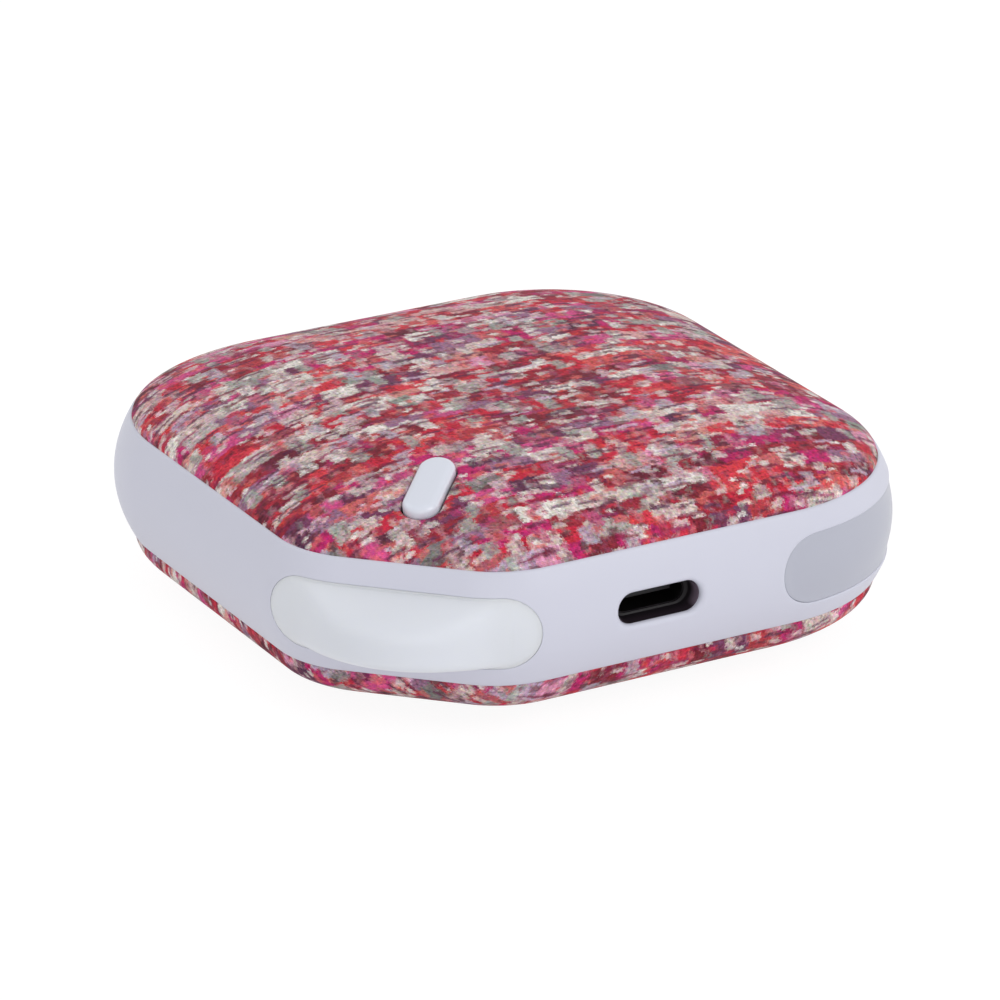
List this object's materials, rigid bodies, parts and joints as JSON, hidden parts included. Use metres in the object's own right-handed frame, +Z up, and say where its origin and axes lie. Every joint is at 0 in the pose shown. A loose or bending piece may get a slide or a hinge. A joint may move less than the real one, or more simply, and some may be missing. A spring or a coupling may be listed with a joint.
{
  "type": "rechargeable hand warmer",
  "caption": "Rounded-square pocket hand warmer: fabric-covered heating domes on a moulded band with a corner lamp, charging port and push button.",
  "frame": {"origin": "bottom centre of the bounding box, on the flat patch that the lower dome rests on", "axes": "+Z up through both domes; -Y out of the side with the charging port; the lamp is on the -X -Y corner and the level window on the +X -Y corner"},
  "size_m": [0.0738, 0.0738, 0.0257],
  "materials": {
    "band_plastic": "satin, fine spark texture",
    "cover_plastic": "plain moulded",
    "tweed_fabric": "printed tweed, fine twill weave",
    "plate_aluminium": "rolled sheet",
    "heater_film": "amber film with etched track",
    "foam": "open-cell foam",
    "component_epoxy": "moulded epoxy",
    "tray_plastic": "plain moulded",
    "screw_steel": "zinc plated",
    "cell_foil": "laminated foil pouch",
    "circuit_board": "solder mask over laminate",
    "lead_insulation": "soft insulation",
    "connector_steel": "drawn sheet",
    "connector_plastic": "moulded",
    "ferrite": "pressed ferrite",
    "ceramic": "fired ceramic",
    "socket_plastic": "moulded",
    "button_plastic": "semi-gloss, translucent",
    "lens_silicone": "milky translucent silicone, satin",
    "diode": "phosphor under clear resin",
    "window_plastic": "smoked translucent, satin",
    "clear_acrylic": "clear acrylic"
  },
  "bodies": {
    "housing": {"mid_band": "band_plastic", "top_cover": "cover_plastic", "bottom_cover": "cover_plastic", "top_fabric": "tweed_fabric", "bottom_fabric": "tweed_fabric", "top_heat_plate": "plate_aluminium", "bottom_heat_plate": "plate_aluminium", "top_heater_film": "heater_film", "bottom_heater_film": "heater_film", "top_foam_pad": "foam", "bottom_foam_pad": "foam", "thermistors": "component_epoxy", "inner_tray": "tray_plastic", "tray_screws": "screw_steel", "battery_cell": "cell_foil", "protection_board": "circuit_board", "battery_leads": "lead_insulation", "main_board": "circuit_board", "board_screws": "screw_steel", "usb_shell": "connector_steel", "usb_tongue": "connector_plastic", "control_chips": "component_epoxy", "power_inductor": "ferrite", "capacitors": "ceramic", "battery_socket": "socket_plastic", "heater_sockets": "socket_plastic", "switch_body": "connector_steel", "switch_board": "circuit_board", "lamp_lens": "lens_silicone", "lamp_board": "circuit_board", "lamp_diodes": "diode", "level_window": "window_plastic", "level_light_guides": "clear_acrylic", "level_board": "circuit_board", "level_diodes": "diode"},
    "button": {"power_button": "button_plastic", "switch_plunger": "connector_plastic"}
  },
  "joints": [
    {"name": "button_press", "type": "slide", "parent": "housing", "child": "button", "axis": [0.1633, 0.1633, -0.973], "range_m": [0, 0.0004], "stiffness_N_per_m": 2500, "springref_m": -0.0001}
  ]
}
